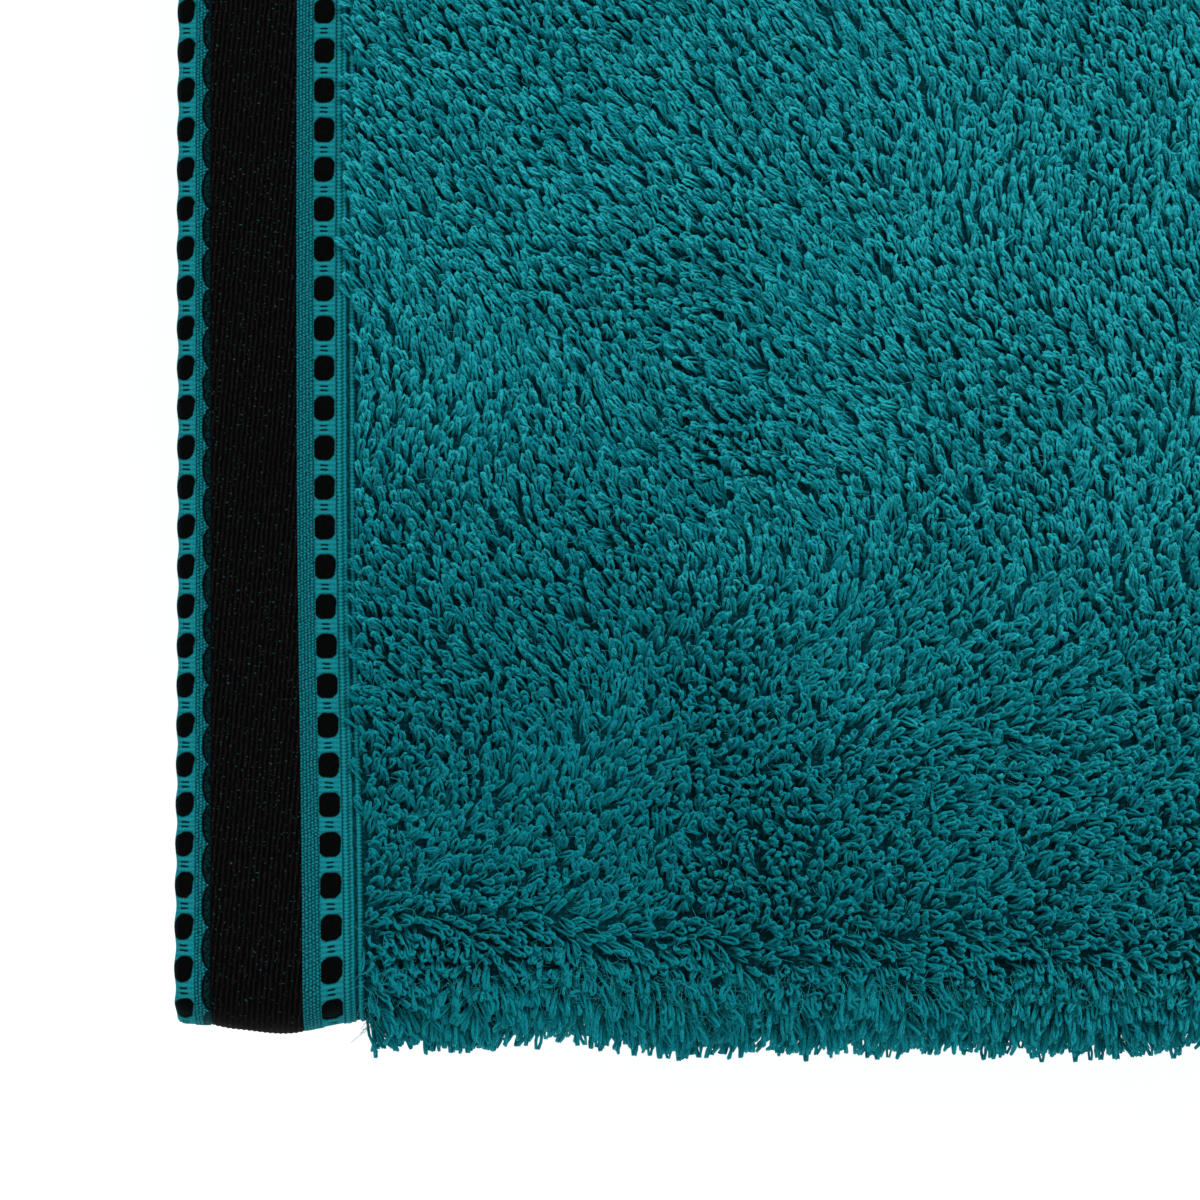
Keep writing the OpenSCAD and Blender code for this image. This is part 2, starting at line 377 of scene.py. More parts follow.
def loop_material():
    """Cotton loop yarn: painted shade at the foot, a painted highlight at the head, and each
    loop a little lighter or darker at random.
    """
    g = Graph("terry_loops", 0.8, 0.8, SHEEN_TEAL)
    tip, shade = g.attribute("tip"), g.attribute("shade")
    # Painted shade in the gaps between loops, on the terry skin only
    between = g.step(g.noise(g.place(), 620.0, 1.0), 0.38, 0.58, 1.0, 0.0)
    tip = g.times(tip, g.sub(1.0, g.times(between, g.attribute("skin"))))
    ply = twisted(g, 1.1)
    fibres = g.noise(g.place(), 3200.0, 3.0)
    patches = g.noise(g.place(), 38.0, 2.0)
    # Painted shade: each loop darkens towards its foot
    body = g.mix(g.step(tip, 0.0, 0.7), LOOP_PAINTED_SHADE, LOOP_TEAL)
    # Painted highlight on the loop heads, strongest where fibres, twist, patches and the shade
    # attribute add up
    painted_highlight_amount = g.add(g.times(shade, 0.5), g.times(fibres, 0.7))
    painted_highlight_amount = g.add(painted_highlight_amount, g.times(ply, 0.25))
    light = g.step(g.add(painted_highlight_amount, g.times(patches, 0.25)), 0.62, 1.15)
    g.colour(g.mix(g.times(light, g.step(tip, 0.3, 1.0)), body, PALE_TEAL_AND_LOOP_HIGHLIGHT))
    g.bump(g.add(fibres, ply), 0.6, 0.00015)
    return g.material


def ground_material():
    """The woven ground under the loops, seen only in the gaps between them, darkened as painted
    shade.
    """
    g = Graph("terry_ground", 0.95, 0.1, SHEEN_TEAL)
    x, y, _ = g.axes(g.place())
    yarns = g.times(g.waves(x, 0.0011), g.waves(y, 0.0008))
    g.colour(g.mix(yarns, GROUND_DEEP_IN_PAINTED_SHADE, GROUND_LIGHT_IN_PAINTED_SHADE))
    g.bump(yarns, 0.6, 0.0002)
    return g.material


def woven(name, roughness, sheen, tint=SHEEN_TEAL):
    """A graph, with u and s of the pattern in millimetres, on yarns that wander a little."""
    g = Graph(name, roughness, sheen, tint)
    weave = g.attribute("weave", "Vector")
    u, s, _ = g.axes(weave)
    wander = g.sub(g.noise(weave, 0.9, 2.0), 0.5)
    return g, g.add(u, g.times(wander, 0.35)), g.add(s, g.times(wander, 0.3))


def grain(g, u, s):
    """The small bright dashes of a plain weave."""
    row = g.math("FLOOR", g.times(u, 1 / GRAIN))
    return g.times(g.waves(u, GRAIN), g.waves(s, GRAIN, g.times(row, 2.4)))


def dashed_teal(g, u, s):
    uneven = g.noise(g.vector(u, s), 2.6, 3.0)
    dashes = g.add(g.times(grain(g, u, s), 0.6), g.times(uneven, 0.9))
    return g.mix(g.step(dashes, 0.3, 1.05), WEAVE_DEEP, WEAVE_LIGHT), dashes


def from_square(g, s):
    """How far s is from the middle of the nearest ladder square, either way."""
    turns = g.times(s, 1 / LADDER_PITCH)
    return g.times(g.sub(turns, g.math("FLOOR", g.add(turns, 0.5))), LADDER_PITCH)


def in_square(g, x, y, width):
    """1 inside a ladder square with round corners, 0 outside it."""
    flat_x, flat_y = width / 2 - SQUARE_CORNER, SQUARE_L / 2 - SQUARE_CORNER
    out_x, out_y = (g.math("MAXIMUM", g.sub(g.math("ABSOLUTE", v), flat), 0.0)
                    for v, flat in ((x, flat_x), (y, flat_y)))
    reach = g.math("SQRT", g.add(g.times(out_x, out_x), g.times(out_y, out_y)))
    return g.step(reach, SQUARE_CORNER - 0.12, SQUARE_CORNER + 0.12, 1.0, 0.0)


def ladder_material(name):
    """Dark squares of weft float between bars of teal yarn."""
    g, u, s = woven(f"{name}_weave", 0.85, 0.06)
    width = SQUARE_W[name]
    x, y = g.sub(u, sum(STRIP_MM[name]) / 2 - TO_EDGE), from_square(g, s)
    ink = in_square(g, g.sub(x, g.times(y, SLANTS[name])), y, width)
    from_bar = g.sub(LADDER_PITCH / 2, g.math("ABSOLUTE", y))
    slit = g.math("ABSOLUTE", g.sub(from_bar, SLIT_FROM_BAR))
    short = g.step(g.math("ABSOLUTE", x), 0.45, 0.7, 1.0, 0.0)
    slit = g.times(g.step(slit, 0.1, 0.2, 1.0, 0.0), short)
    teal, dashes = dashed_teal(g, u, s)
    bars = g.mix(g.waves(from_bar, BAR_YARN, math.pi / 2), WEAVE_TEAL, WEAVE_LIGHT)
    in_ladder = g.step(g.math("ABSOLUTE", x), width / 2 - 0.1, width / 2 + 0.3, 1.0, 0.0)
    teal = g.mix(g.times(in_ladder, 0.7), teal, bars)
    floats = g.noise(g.vector(g.times(u, 6.0), s), 1.1)
    floats = g.mix(g.step(floats, 0.5, 1.0), INK, INK_LIGHT)
    teal = g.mix(0.15, teal, PALE_TEAL_AND_LOOP_HIGHLIGHT)
    g.colour(g.mix(ink, g.mix(slit, teal, INK_GREEN), floats))
    g.bump(dashes, 0.4, 0.0001)
    return g.material


def scallop_material():
    """Teal arcs with a dark line along them, over dark green."""
    g, u, s = woven("scallop_weave", 0.85, 0.25)
    start, end = STRIP_MM["scallop_strip"]
    turns = g.times(from_square(g, s), 2 / LADDER_PITCH)
    bow = g.sub(1.0, g.math("POWER", g.sub(1.0, g.math("ABSOLUTE", turns)), 2.0))
    bow = g.math("SQRT", g.math("MAXIMUM", bow, 0.0))
    edge = g.sub(end - 0.1, g.times(bow, end - start - 1.0))
    past = g.sub(u, edge)
    teal, dashes = dashed_teal(g, u, s)
    line = g.step(g.math("ABSOLUTE", g.sub(past, 0.16)), 0.1, 0.24, 1.0, 0.0)
    fill = g.mix(g.step(g.noise(g.vector(u, s), 2.2), 0.35, 0.7), INK, SCALLOP_GREEN)
    colour = g.mix(g.step(past, -0.05, 0.12), teal, fill)
    g.colour(g.mix(line, colour, INK))
    g.bump(dashes, 0.4, 0.0001)
    return g.material


def band_material():
    """Brushed near-black weave with fine ribs and a few stray teal fibres."""
    g, u, s = woven("dark_band_weave", 0.92, 0.03, SHEEN_BROWN)
    slanted = g.add(u, g.times(s, 0.10))
    ribs = g.waves(slanted, BAND_RIB)
    broken = g.noise(g.vector(g.times(u, 2.2), g.times(s, 0.5)), 1.5, 3.0)
    light = g.step(g.add(g.times(ribs, 0.5), g.times(broken, 0.8)), 0.55, 1.1)
    specks = g.noise(g.vector(g.times(u, 1.2), g.times(s, 1.8)), 1.6, 1.0)
    specks = g.step(specks, 0.675, 0.72)
    g.colour(g.mix(specks, g.mix(light, INK, INK_LIGHT), BAND_SPECK))
    g.bump(g.add(ribs, broken), 0.5, 0.00012)
    return g.material


def plain_material():
    g, u, s = woven("plain_weave", 0.85, 0.3)
    colour, dashes = dashed_teal(g, u, s)
    g.colour(colour)
    g.bump(dashes, 0.5, 0.00012)
    return g.material


def ribbed_material():
    """Columns of small chained stitches that run across the cloth."""
    g, u, s = woven("ribbed_weave", 0.85, 0.3)
    from_start = g.sub(u, STRIP_MM["ribbed_strip"][0])
    columns = g.waves(from_start, RIB, -math.pi / 2)
    row = g.math("FLOOR", g.times(from_start, 1 / RIB))
    chain = g.waves(s, 0.55, g.times(row, 1.9))
    light = g.add(g.times(columns, 0.55), g.times(chain, 0.5))
    # Painted shade along the seam's groove, where the ribs go dark
    groove = g.math("ABSOLUTE", g.sub(u, SEAM_U / MM))
    light = g.times(g.step(light, -0.1, 1.0), g.step(groove, 0.05, 0.4))
    g.colour(g.mix(light, WEAVE_DEEP, WEAVE_LIGHT))
    g.bump(light, 0.5, 0.00012)
    return g.material


def hem_material():
    """Flat weave of the turned hems."""
    g, u, s = woven("hem_weave", 0.88, 0.3)
    row = g.math("FLOOR", g.times(s, 1 / HEM_RIB))
    dashes = g.times(g.waves(s, HEM_RIB), g.waves(u, 0.6, g.times(row, 2.1)))
    patches = g.noise(g.vector(u, s), 0.15)
    light = g.add(g.times(dashes, 0.8), g.times(patches, 0.5))
    g.colour(g.mix(g.step(light, 0.1, 1.0), WEAVE_DEEP, WEAVE_TEAL))
    g.bump(dashes, 0.5, 0.00015)
    return g.material


def thread_material():
    """Sewing thread, two plies twisted together."""
    g = Graph("sewing_thread", 0.6, 0.2, SHEEN_TEAL)
    ply = twisted(g, 3.0)
    # Painted shade in the groove of the thread's twist, in the deep weave colour
    g.colour(g.mix(ply, WEAVE_DEEP, THREAD_TEAL))
    g.bump(ply, 0.5, 0.0001)
    return g.material


# ---- meshes
def linked(name, data):
    """A new object in the scene."""
    made = bpy.data.objects.new(name, data)
    bpy.context.scene.collection.objects.link(made)
    return made


def piece(name, made, material):
    """A smooth-shaded object from (points, faces, values), where faces is a list of arrays,
    each with one size of face, and values holds what the materials read at each point."""
    points, faces, values = made
    mesh = bpy.data.meshes.new(name)
    corners = np.concatenate([f.ravel() for f in faces]).astype(np.int32)
    sizes = np.concatenate([np.full(len(f), f.shape[1], np.int32) for f in faces])
    mesh.vertices.add(len(points))
    mesh.vertices.foreach_set("co", points.astype(np.float32).ravel())
    mesh.loops.add(len(corners))
    mesh.loops.foreach_set("vertex_index", corners)
    mesh.polygons.add(len(sizes))
    starts = np.concatenate([[0], np.cumsum(sizes)[:-1]]).astype(np.int32)
    mesh.polygons.foreach_set("loop_start", starts)
    mesh.polygons.foreach_set("use_smooth", np.ones(len(sizes), bool))
    mesh.materials.append(material)
    for key, value in values.items():
        kind, field = ("FLOAT_VECTOR", "vector") if value.ndim == 2 else ("FLOAT", "value")
        attribute = mesh.attributes.new(key, kind, "POINT")
        attribute.data.foreach_set(field, value.astype(np.float32).ravel())
    mesh.update()
    mesh.validate()
    return linked(name, mesh)


def joined(families):
    """Points, faces and values of several meshes as one. All have the same values."""
    offset, faces = 0, []
    for points, own, _ in families:
        faces += [f + offset for f in own]
        offset += len(points)
    values = {k: np.concatenate([f[2][k] for f in families]) for k in families[0][2]}
    return np.concatenate([f[0] for f in families]), faces, values


def unit(vectors):
    return vectors / np.maximum(np.linalg.norm(vectors, axis=-1, keepdims=True), 1e-12)


def tubes(lines, radius, sides, values):
    """Round tubes, closed at both ends, along lines (n, k, 3). values are (n, k) arrays."""
    n, k = lines.shape[:2]
    along = unit(np.gradient(lines, axis=1))
    side = np.cross(along[:, 0], [0.31, 0.52, 0.79])
    turn = np.arange(sides) * 2 * math.pi / sides
    rings = np.empty((n, k, sides, 3))
    for i in range(k):
        side = unit(side - (side * along[:, i]).sum(-1, keepdims=True) * along[:, i])
        other = np.cross(along[:, i], side)
        ring = np.cos(turn)[:, None] * side[:, None] + np.sin(turn)[:, None] * other[:, None]
        rings[:, i] = lines[:, i, None] + ring * radius[:, i, None, None]
    index = np.arange(n * k * sides).reshape(n, k, sides)
    following = np.roll(index, -1, axis=2)
    walls = index[:, :-1], following[:, :-1], following[:, 1:], index[:, 1:]
    walls = np.stack(walls, -1).reshape(-1, 4)
    ends = np.concatenate([index[:, 0, ::-1], index[:, -1]])
    far = np.linalg.norm(np.diff(lines, axis=1), axis=-1) / MM
    far = np.concatenate([np.zeros((n, 1)), np.cumsum(far, axis=1)], axis=1)
    yarn = np.stack(np.broadcast_arrays(turn, far[..., None], 0.0), axis=-1)
    spread = {key: np.repeat(value.ravel(), sides) for key, value in values.items()}
    spread["yarn"] = yarn.reshape(-1, 3)
    return rings.reshape(-1, 3), [walls, ends], spread


def steps(start, end, cell):
    return np.linspace(start, end, max(2, math.ceil(abs(end - start) / cell) + 1))


def across_steps(s0, s1, flat, fold, close=None):
    """Stations across the cloth: flat apart on the layers and fold apart in the folds, and
    close apart where the camera sees the cloth closely."""
    bounds = [0, S_FRONT, S_UNDER, S_REAR, S_TUCKED, S_END]
    cells = [flat, fold, flat, fold, flat]
    if close:
        bounds.insert(1, CLOSE_S)
        cells = [flat, close, close, flat, fold, flat]
    found = []
    for start, end, cell in zip(bounds, bounds[1:], cells):
        start, end = max(start, s0), min(end, s1)
        if end - start > 0.01 * MM:
            found.append(steps(start, end, cell)[:-1])
    return np.append(np.concatenate(found), s1)


def walls_of(index):
    """Faces between each ring of point numbers (n, m) and the next."""
    after = np.roll(index, -1, axis=1)
    return np.stack([index[:-1], after[:-1], after[1:], index[1:]], -1).reshape(-1, 4)


def swept(points, *weave):
    """A closed solid from rings of points (n, m, 3), with its two ends filled. weave holds
    the three coordinates that the woven patterns read."""
    index = np.arange(points.shape[0] * points.shape[1]).reshape(points.shape[:2])
    ends = np.stack([index[0, ::-1], index[-1]])
    weave = np.stack(np.broadcast_arrays(*weave), -1).reshape(-1, 3)
    return facing_out(points.reshape(-1, 3), [walls_of(index), ends], {"weave": weave})


def facing_out(points, faces, values):
    """The same mesh, turned inside out if its normals point inwards."""
    volume = 0.0
    for f in faces:
        for i in range(1, f.shape[1] - 1):
            p, q, r = points[f[:, 0]], points[f[:, i]], points[f[:, i + 1]]
            volume += (p * np.cross(q, r)).sum()
    if volume < 0:
        faces = [f[:, ::-1] for f in faces]
    return points, faces, values


# ---- riding on the bodies
def attach(made, towel, part):
    """Rides on its panel's body, or on the lower towel's body; a piece of an upper cross fold
    stays fixed where it lies.
    """
    if towel is LOWER:
        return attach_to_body(made, "lower_towel")
    if part in PANELS:
        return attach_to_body(made, f"upper_{part}")
    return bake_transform(made)


def reach_of(part, border=BORDER_W):
    """Where a part's terry starts and ends along the towel. Its hems have no border."""
    if part == "top":
        return END_LEFT + border, RIGHT_X
    if part == "middle":
        return LEFT_X, RIGHT_X
    if part == "bottom":
        return LEFT_X, END_RIGHT - border
    return 0.0, math.pi


# Where each cross fold of the upper towel is parted, so that each piece holds plies of about
# one radius. The first piece of each runs from the over layer's side hem.
S_FROM, S_TO = SIDE_HEM_W, S_END - SIDE_HEM_W
S_QUARTER = (S_FRONT + S_UNDER) / 2
S_EIGHTH = (S_FRONT + S_QUARTER) / 2
S_FIVE_EIGHTHS = (S_QUARTER + S_UNDER) / 2
S_REAR_HALF = (S_REAR + S_TUCKED) / 2
FOLD_PARTS = {
    "right": (S_FROM, S_FRONT, S_EIGHTH, S_QUARTER, S_TO),
    "left": (S_FROM, S_QUARTER, S_FIVE_EIGHTHS, S_REAR_HALF, S_TO),
}

# A strip of a fold that is narrower than this counts with the sheet beside it
NARROWEST_SHEET = 10 * MM

# How far the edge loops of a panel reach past its lengthwise folds
PAST_FOLD = 5 * MM


def inner_radius(part, s0, s1):
    """The smallest radius that a stretch of ground has in a cross fold."""
    return float(fold_radius(part, np.linspace(s0, s1, 60)).min()) - GROUND_T / 2


# ---- woven ground
def ground(towel, part, s0=S_FROM, s1=S_TO):
    """The woven ground of one stretch of cloth, as a thin closed sheet."""
    fold = part in FOLDS
    a0, a1 = reach_of(part)
    a = steps(a0, a1, math.pi / 16 if fold else 7 * MM)
    s = across_steps(s0, s1, 7 * MM, 1.2 * MM)
    n, m = len(a), len(s)
    ring = np.concatenate([s, s[::-1]])
    lift = np.repeat([GROUND_T / 2, -GROUND_T / 2], m)
    points = place(towel, part, a[:, None], ring, lift)
    index = np.arange(n * 2 * m).reshape(n, 2 * m)
    back = index[:, ::-1]
    ends = [np.stack([i[:m - 1], i[1:m], j[1:m], j[:m - 1]], -1)
            for i, j in ((index[0], back[0]), (index[-1], back[-1]))]
    ends[0] = ends[0][:, ::-1]
    made = facing_out(points.reshape(-1, 3), [walls_of(index), *ends], {})
    radius = float(fold_radius(part, np.linspace(s0, s1, 60)).mean()) if fold else 1.0
    return made, (s1 - s0, (a1 - a0) * radius)


# ---- terry loops
# How finely a loop is drawn, how thick its yarn is, how wide its head, and how lit: how soon
# its painted foot shade gives way to its painted head colour
Loop = namedtuple("Loop", "rings sides yarn_r head_w lit")
FINE = Loop(8, 4, 0.26 * MM, 0.48 * MM, 1.0)
FAR = Loop(4, 3, 0.42 * MM, 0.62 * MM, 1.5)
COARSE = Loop(4, 3, 0.5 * MM, 0.8 * MM, 1.3)
COARSE_CELL = 2.1 * MM
LOOP_FOOT = 0.3 * MM
LOOP_L = 3.9 * MM
FRINGE_L = 5.7 * MM

# The part of the towel that the camera sees closely
VIEW_W = 0.18
VIEW_X = END_LEFT + 0.0636
VIEW_Y = FRONT + 0.0659
CLOSE_A = VIEW_X + VIEW_W / 2 + 0.003
CLOSE_S = HEM_EDGE_Y - (VIEW_Y + VIEW_W / 2 + 0.003)
FADE = 0.022


def closeness(a, s):
    """The share of finely drawn loops: 1 in the camera's view, falling to 0 around it."""
    beyond = np.maximum(a - CLOSE_A, CLOSE_S - s) + 0.25 * FADE * soft_noise(a, s, 0.012, 29)
    return (1 - ease(beyond, 0, FADE)) * (s < S_UNDER)


def scatter(rng, a0, a1, s0, s1, step_a, step_s):
    """Staggered rows of points over a stretch of cloth, each moved a little at random."""
    na, ns = max(1, round((a1 - a0) / step_a)), max(1, round((s1 - s0) / step_s))
    i, j = np.meshgrid(np.arange(na), np.arange(ns), indexing="ij")
    a = (i + 0.25 + 0.5 * (j % 2) + rng.uniform(-0.3, 0.3, i.shape)) / na
    s = (j + 0.5 + rng.uniform(-0.35, 0.35, i.shape)) / ns
    return (a0 + a * (a1 - a0)).ravel(), (s0 + s * (s1 - s0)).ravel()


# Headings on the cloth: 0 points along the towel, and a right angle towards the front
UP_LEFT = -2.1
UP_RIGHT = -0.45
TO_FRONT = math.pi / 2


def in_view(a, s, from_end):
    """How far right and how far down points lie in the camera's view, each from 0 to 1."""
    return ease(a, END_LEFT + from_end, CLOSE_A), ease(s, CLOSE_S + 0.04, S_FRONT)


def combing(a, s):
    """Lean, heading and wildness of the upper towel's loops, as a hand has brushed them."""
    right, down = in_view(a, s, 0.03)
    rough = 0.5 * down + 0.4 * right * down + 0.1 * right
    rough = np.clip(rough + 0.3 * soft_noise(a, s, 0.02, 21), 0, 1)
    lean = 1.08 - 0.42 * rough + 0.22 * soft_noise(a, s, 0.012, 22)
    turned = np.clip(down * (0.6 + 0.5 * right) + 0.5 * soft_noise(a, s, 0.035, 23), 0, 1)
    heading = UP_LEFT + (UP_RIGHT - UP_LEFT) * turned + 0.3 * soft_noise(a, s, 0.05, 20)
    heading = heading + (0.15 + 0.9 * rough**2) * 1.2 * soft_noise(a, s, 0.012, 24)
    fringe = ease(s + 0.004 * soft_noise(a, s, 0.007, 28), S_FRONT - 0.012, S_FRONT + 0.002)
    lean = lean * (1 - fringe) + fringe * (0.6 + 0.35 * soft_noise(a, s, 0.006, 25))
    fringe_heading = TO_FRONT + 1.3 * soft_noise(a, s, 0.008, 26)
    heading = heading * (1 - fringe) + fringe * fringe_heading
    return lean, heading, np.maximum(rough, 0.7 * fringe)


def painted_light_by_place(a, s):
    """How much lighter the loops are painted, as painted light and shade: most at the upper
    right, least at the lower left.
    """
    right, down = in_view(a, s, 0.05)
    return 0.1 + 0.28 * right * (1 - down) - 0.55 * (1 - right) * down - 0.12 * down


def loops(rng, towel, part, a, s, loop, length=LOOP_L):
    """Twisted loops that stand on the cloth at (a, s)."""
    n = len(a)
    if towel is UPPER and part == "top":
        lean, heading, wild = combing(a, s)
    else:
        lean, heading, wild = 0.55, 3.0 * soft_noise(a * 0.2 + s, s, 0.03, 27), 0.5
    lean = np.clip(lean + rng.normal(0, 1, n) * (0.15 + 0.2 * wild), 0, 1.35)
    heading = heading + rng.normal(0, 1, n) * (0.26 + 0.5 * wild)
    length = length * rng.uniform(0.82, 1.15, n)
    q = np.linspace(0, math.pi, loop.rings)
    rise = np.sin(q) ** 0.8
    width = loop.head_w * (0.5 + 0.9 * rise**2) * np.cos(q)
    width = width * rng.uniform(0.75, 1.3, n)[:, None]
    twist = rng.choice([-1, 1], n) * rng.uniform(1.6, 3.6, n)
    face = heading + math.pi / 2 + rng.normal(0, 0.5, n)
    turn = face[:, None] + twist[:, None] * (1 - rise)
    reach = (length * np.sin(lean))[:, None] * rise**1.35
    to_a = reach * np.cos(heading)[:, None] + width * np.cos(turn)
    to_s = reach * np.sin(heading)[:, None] + width * np.sin(turn)
    lift = LOOP_FOOT + (length * np.cos(lean))[:, None] * rise
    if part in FOLDS:
        to_a = to_a / np.maximum(fold_radius(part, s), 4 * MM)[:, None]
    lines = place(towel, part, a[:, None] + to_a, s[:, None] + to_s, lift)
    radius = loop.yarn_r * rng.uniform(0.85, 1.15, n)[:, None] * (0.82 + 0.18 * rise)
    # Each loop lighter or darker at random, with painted shade where the pile is wild and
    # painted light and shade by place
    shade = rng.uniform(0, 1, n) * (1 - 0.6 * wild) + painted_light_by_place(a, s)
    shade = np.repeat(shade[:, None], loop.rings, axis=1)
    tip = np.broadcast_to(np.minimum(rise * loop.lit, 1), shade.shape)
    values = {"shade": shade, "tip": tip, "skin": np.zeros(shade.shape)}
    return tubes(lines, radius, loop.sides, values)


def close_loops():
    """The finely drawn loops that the camera sees, in strips along the towel."""
    rng, made, strips, cell = np.random.default_rng(5), [], 7, 1.06 * MM
    edges = np.linspace(END_LEFT + BORDER_W + 0.1 * MM, CLOSE_A + FADE, strips + 1)
    for i in range(strips):
        reach = edges[i], edges[i + 1]
        on_top = scatter(rng, *reach, CLOSE_S - FADE, S_FRONT, cell, 1.26 * MM)
        on_fold = scatter(rng, *reach, S_FRONT, S_UNDER, cell, 1.0 * MM)
        a, s = np.hstack([on_top, on_fold])
        close = rng.uniform(size=len(a)) < closeness(a, s)
        a, s = a[close], s[close]
        length = LOOP_L + (FRINGE_L - LOOP_L) * ease(s, S_FRONT, S_FRONT + 0.006)
        family = loops(rng, UPPER, "top", a, s, FINE, length)
        made.append(terry(f"upper_top_close_loops_{i + 1}", family, UPPER, "top"))
    return made


def stray_fibres(rng):
    """Hair-thin ends of cotton that stand out of the pile, most of them at the front fold."""
    count, rings = 7000, 4
    a = rng.uniform(END_LEFT + BORDER_W, CLOSE_A, count)
    on_fold = rng.uniform(size=count) < 0.65
    round_fold = rng.uniform(S_FRONT, S_UNDER, count)
    s = np.where(on_fold, round_fold, rng.uniform(CLOSE_S, S_FRONT, count))
    t = np.linspace(0, 1, rings)
    heading, curl = rng.uniform(-math.pi, math.pi, count), rng.normal(0, 1.4, count)
    turn = heading[:, None] + curl[:, None] * t
    length = rng.uniform(1.2, 2.8, count)[:, None] * MM
    to_a, to_s = length * t * np.cos(turn), length * t * np.sin(turn)
    lift = 2.2 * MM + length * t * rng.uniform(0.2, 0.8, count)[:, None]
    lines = place(UPPER, "top", a[:, None] + to_a, s[:, None] + to_s, lift)
    radius = np.full((count, rings), 0.035 * MM)
    # The fibres get the loops' full head colour, painted highlight included
    lit = np.ones((count, rings))
    made = tubes(lines, radius, 3, {"shade": lit, "tip": lit, "skin": 0 * lit})
    return terry("upper_top_stray_fibres", made, UPPER, "top")


def far_loops(rng):
    """The upper towel's top face where the camera doesn't see it closely."""
    a0, a1 = reach_of("top")
    cell, front = 1.62 * MM, S_FRONT - PAST_FOLD
    side_mid, rear_mid = (CLOSE_A + a1) / 2, (a0 + a1) / 2
    made = []
    for name, stretch in (
        ("side_loops_1", (CLOSE_A, side_mid, CLOSE_S, front)),
        ("side_loops_2", (side_mid, a1, CLOSE_S, front)),
        ("rear_loops_1", (a0, rear_mid, S_FROM, CLOSE_S)),
        ("rear_loops_2", (rear_mid, a1, S_FROM, CLOSE_S)),
    ):
        family = coarse_loops(rng, UPPER, "top", *stretch, cell, cell, FAR)
        made.append(terry(f"upper_top_{name}", family, UPPER, "top"))
    return made


def coarse_loops(rng, towel, part, a0, a1, s0, s1, step_a=COARSE_CELL, step_s=COARSE_CELL,
                 loop=COARSE):
    """Loops drawn with few faces, for what is seen from further off."""
    length = LOOP_L
    if part in FOLDS:
        step_a = step_a / float(fold_radius(part, (s0 + s1) / 2))
    a, s = scatter(rng, a0, a1, s0, s1, step_a, step_s)
    if part in FOLDS:
        length = np.clip(0.75 * fold_radius(part, s), 0.55 * LOOP_L, LOOP_L)
    if towel is UPPER and part == "top":
        far = rng.uniform(size=len(a)) > closeness(a, s)
        a, s = a[far], s[far]
    return loops(rng, towel, part, a, s, loop, length)


def edge_loops(rng, towel, part):
    """Loops round the front and rear folds of one panel."""
    made = []
    for s0, s1, cell in ((S_FRONT, S_UNDER, 2.3 * MM), (S_REAR, S_TUCKED, 2.5 * MM)):
        stretch = *reach_of(part), s0 - PAST_FOLD, s1 + PAST_FOLD
        made.append(coarse_loops(rng, towel, part, *stretch, cell, 1.8 * MM))
    return made


def skin(rng, towel, part, s0, s1, cell=1.85 * MM):
    """A bumpy skin of terry for a face that shows only when the towels are opened."""
    a, s = np.meshgrid(steps(*reach_of(part), cell), steps(s0, s1, cell), indexing="ij")
    n, m = a.shape
    inner = np.zeros((n, m))
    inner[1:-1, 1:-1] = 1
    tall = (np.add.outer(np.arange(n), np.arange(m)) % 2) * 1.1 * MM
    lift = inner * (1.0 * MM + tall + rng.uniform(-0.3, 0.9, (n, m)) * MM)
    jitter = inner * 0.3 * cell
    a = a + jitter * rng.uniform(-1, 1, (n, m))
    s = s + jitter * rng.uniform(-1, 1, (n, m))
    points = place(towel, part, a, s, lift)
    index = np.arange(n * m).reshape(n, m)
    faces = np.stack([index[:-1, :-1], index[1:, :-1], index[1:, 1:], index[:-1, 1:]], -1)
    normal = np.cross(points[1, 0] - points[0, 0], points[0, 1] - points[0, 0])
    outward = place(towel, part, a, s, lift + 1)[0, 0] - points[0, 0]
    faces = faces.reshape(-1, 4)
    if normal @ outward < 0:
        faces = faces[:, ::-1]
    # Painted shade in the skin's valleys: only its peaks get the loops' head colour
    tip = np.clip(lift / MM - 1.2, 0, 1).ravel() * 0.8
    values = {"shade": rng.uniform(0, 1, n * m), "tip": tip, "skin": np.ones(n * m)}
    values["yarn"] = np.zeros((n * m, 3))
    return points.reshape(-1, 3), [faces], values


# ---- woven border
def from_left_end(node):
    return low(node).x - END_LEFT, high(node).x - END_LEFT


STRIPS = "outer_ladder scallop_strip dark_band plain_strip inner_ladder ribbed_strip".split()

# Where each strip starts and ends, from the towel's end
STRIP_U = {name: from_left_end(f"upper_top_{name}") for name in STRIPS}
STRIP_MM = {name: (start / MM, end / MM) for name, (start, end) in STRIP_U.items()}
SEAM_U = sum(from_left_end("upper_top_end_hem_stitching")) / 2


def bump_wave(x, pitch):
    """Round ridges, one each pitch, from 0 to 1."""
    return np.abs(np.cos(math.pi * x / pitch))


